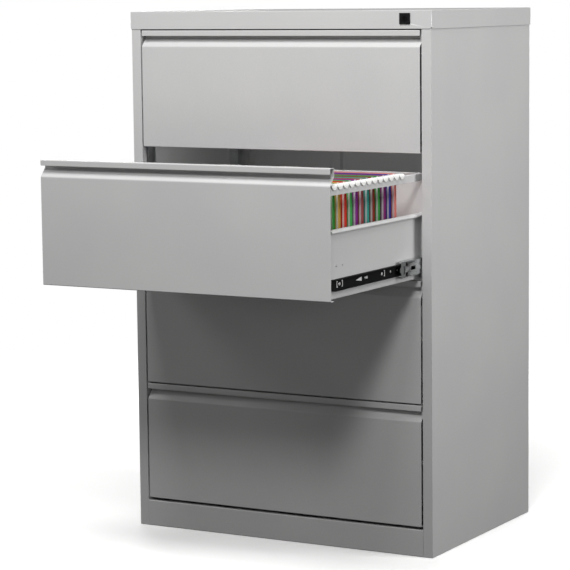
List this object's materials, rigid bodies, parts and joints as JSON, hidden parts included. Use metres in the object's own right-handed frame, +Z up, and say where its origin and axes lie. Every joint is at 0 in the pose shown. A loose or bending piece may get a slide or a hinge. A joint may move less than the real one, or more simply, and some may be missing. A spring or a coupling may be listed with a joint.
{
  "type": "lateral filing cabinet",
  "caption": "Steel lateral filing cabinet with pull-out drawers on telescopic slides, full-width recessed pulls, a lock in the top cap and hanging folders in the open drawer.",
  "frame": {"origin": "centre of the carcass footprint on the floor, midway between the floor fixing holes", "axes": "+Z up, +X to the right as seen from the front, +Y from the front to the back"},
  "size_m": [0.87, 1.0654, 1.36],
  "materials": {
    "cabinet_paint": "fine-textured powder coat",
    "zinc_plate": "bright zinc plate",
    "slide_steel": "bright zinc plate",
    "slide_black": "black electro-coat",
    "screw_steel": "satin",
    "lock_black": "satin",
    "lock_steel": "satin",
    "glide_plastic": "matte",
    "folder_card": "matte card",
    "hanger_plastic": "satin",
    "tab_plastic": "clear"
  },
  "bodies": {
    "cabinet": {"left_side_panel": "cabinet_paint", "right_side_panel": "cabinet_paint", "back_panel": "cabinet_paint", "back_ribs": "cabinet_paint", "top_cap": "cabinet_paint", "base_plinth": "cabinet_paint", "bottom_pan": "cabinet_paint", "front_posts": "zinc_plate", "rear_posts": "zinc_plate", "base_gussets": "zinc_plate", "carcass_screws": "screw_steel", "lock_housing": "lock_black", "outer_slides_1": "slide_steel", "outer_slides_2": "slide_steel", "outer_slides_3": "slide_steel", "outer_slides_4": "slide_steel"},
    "drawer_1": {"drawer_front_1": "cabinet_paint", "front_liner_1": "cabinet_paint", "drawer_tray_1": "cabinet_paint", "drawer_back_1": "cabinet_paint", "file_rails_1": "cabinet_paint", "inner_slides_1": "slide_black", "slide_rivets_1": "screw_steel"},
    "mid_slides_1": {"mid_slides_1": "slide_steel"},
    "drawer_2": {"drawer_front_2": "cabinet_paint", "front_liner_2": "cabinet_paint", "drawer_tray_2": "cabinet_paint", "drawer_back_2": "cabinet_paint", "file_rails_2": "cabinet_paint", "inner_slides_2": "slide_black", "slide_rivets_2": "screw_steel", "hanging_folders": "folder_card", "folder_hangers": "hanger_plastic", "folder_tabs": "tab_plastic"},
    "mid_slides_2": {"mid_slides_2": "slide_steel"},
    "drawer_3": {"drawer_front_3": "cabinet_paint", "front_liner_3": "cabinet_paint", "drawer_tray_3": "cabinet_paint", "drawer_back_3": "cabinet_paint", "file_rails_3": "cabinet_paint", "inner_slides_3": "slide_black", "slide_rivets_3": "screw_steel"},
    "mid_slides_3": {"mid_slides_3": "slide_steel"},
    "drawer_4": {"drawer_front_4": "cabinet_paint", "front_liner_4": "cabinet_paint", "drawer_tray_4": "cabinet_paint", "drawer_back_4": "cabinet_paint", "file_rails_4": "cabinet_paint", "inner_slides_4": "slide_black", "slide_rivets_4": "screw_steel"},
    "mid_slides_4": {"mid_slides_4": "slide_steel"},
    "lock_barrel": {"lock_barrel": "lock_steel"},
    "lock_bar": {"lock_bar": "zinc_plate"},
    "glide_front_left": {"glide_front_left": "glide_plastic"},
    "glide_front_right": {"glide_front_right": "glide_plastic"},
    "glide_rear_left": {"glide_rear_left": "glide_plastic"},
    "glide_rear_right": {"glide_rear_right": "glide_plastic"}
  },
  "joints": [
    {"name": "drawer_1_travel", "type": "slide", "parent": "cabinet", "child": "drawer_1", "axis": [0, -1, 0], "range_m": [0, 0.49]},
    {"name": "mid_slides_1_travel", "type": "slide", "parent": "cabinet", "child": "mid_slides_1", "axis": [0, -1, 0], "range_m": [0, 0.12251]},
    {"name": "drawer_2_travel", "type": "slide", "parent": "cabinet", "child": "drawer_2", "axis": [0, -1, 0], "range_m": [-0.467, 0.023]},
    {"name": "mid_slides_2_travel", "type": "slide", "parent": "cabinet", "child": "mid_slides_2", "axis": [0, -1, 0], "range_m": [-0.11676, 0.00576]},
    {"name": "drawer_3_travel", "type": "slide", "parent": "cabinet", "child": "drawer_3", "axis": [0, -1, 0], "range_m": [0, 0.49]},
    {"name": "mid_slides_3_travel", "type": "slide", "parent": "cabinet", "child": "mid_slides_3", "axis": [0, -1, 0], "range_m": [0, 0.12251]},
    {"name": "drawer_4_travel", "type": "slide", "parent": "cabinet", "child": "drawer_4", "axis": [0, -1, 0], "range_m": [0, 0.49]},
    {"name": "mid_slides_4_travel", "type": "slide", "parent": "cabinet", "child": "mid_slides_4", "axis": [0, -1, 0], "range_m": [0, 0.12251]},
    {"name": "lock_bar_drop", "type": "slide", "parent": "cabinet", "child": "lock_bar", "axis": [0, 0, -1], "range_m": [0, 0.01]},
    {"name": "lock_turn", "type": "hinge", "parent": "cabinet", "child": "lock_barrel", "pos_m": [0.3625, -0.3, 1.34], "axis": [0, 1, 0], "range_deg": [0, 90]},
    {"name": "glide_front_left_screw", "type": "slide", "parent": "cabinet", "child": "glide_front_left", "axis": [0, 0, -1], "range_m": [0, 0.015]},
    {"name": "glide_front_right_screw", "type": "slide", "parent": "cabinet", "child": "glide_front_right", "axis": [0, 0, -1], "range_m": [0, 0.015]},
    {"name": "glide_rear_left_screw", "type": "slide", "parent": "cabinet", "child": "glide_rear_left", "axis": [0, 0, -1], "range_m": [0, 0.015]},
    {"name": "glide_rear_right_screw", "type": "slide", "parent": "cabinet", "child": "glide_rear_right", "axis": [0, 0, -1], "range_m": [0, 0.015]}
  ],
  "couplings": [
    {"joint": "mid_slides_1_travel", "follows": "drawer_1_travel", "ratio": 0.25},
    {"joint": "mid_slides_2_travel", "follows": "drawer_2_travel", "ratio": 0.25},
    {"joint": "mid_slides_3_travel", "follows": "drawer_3_travel", "ratio": 0.25},
    {"joint": "mid_slides_4_travel", "follows": "drawer_4_travel", "ratio": 0.25},
    {"joint": "lock_turn", "follows": "lock_bar_drop", "rad_per_m": 157.07}
  ]
}
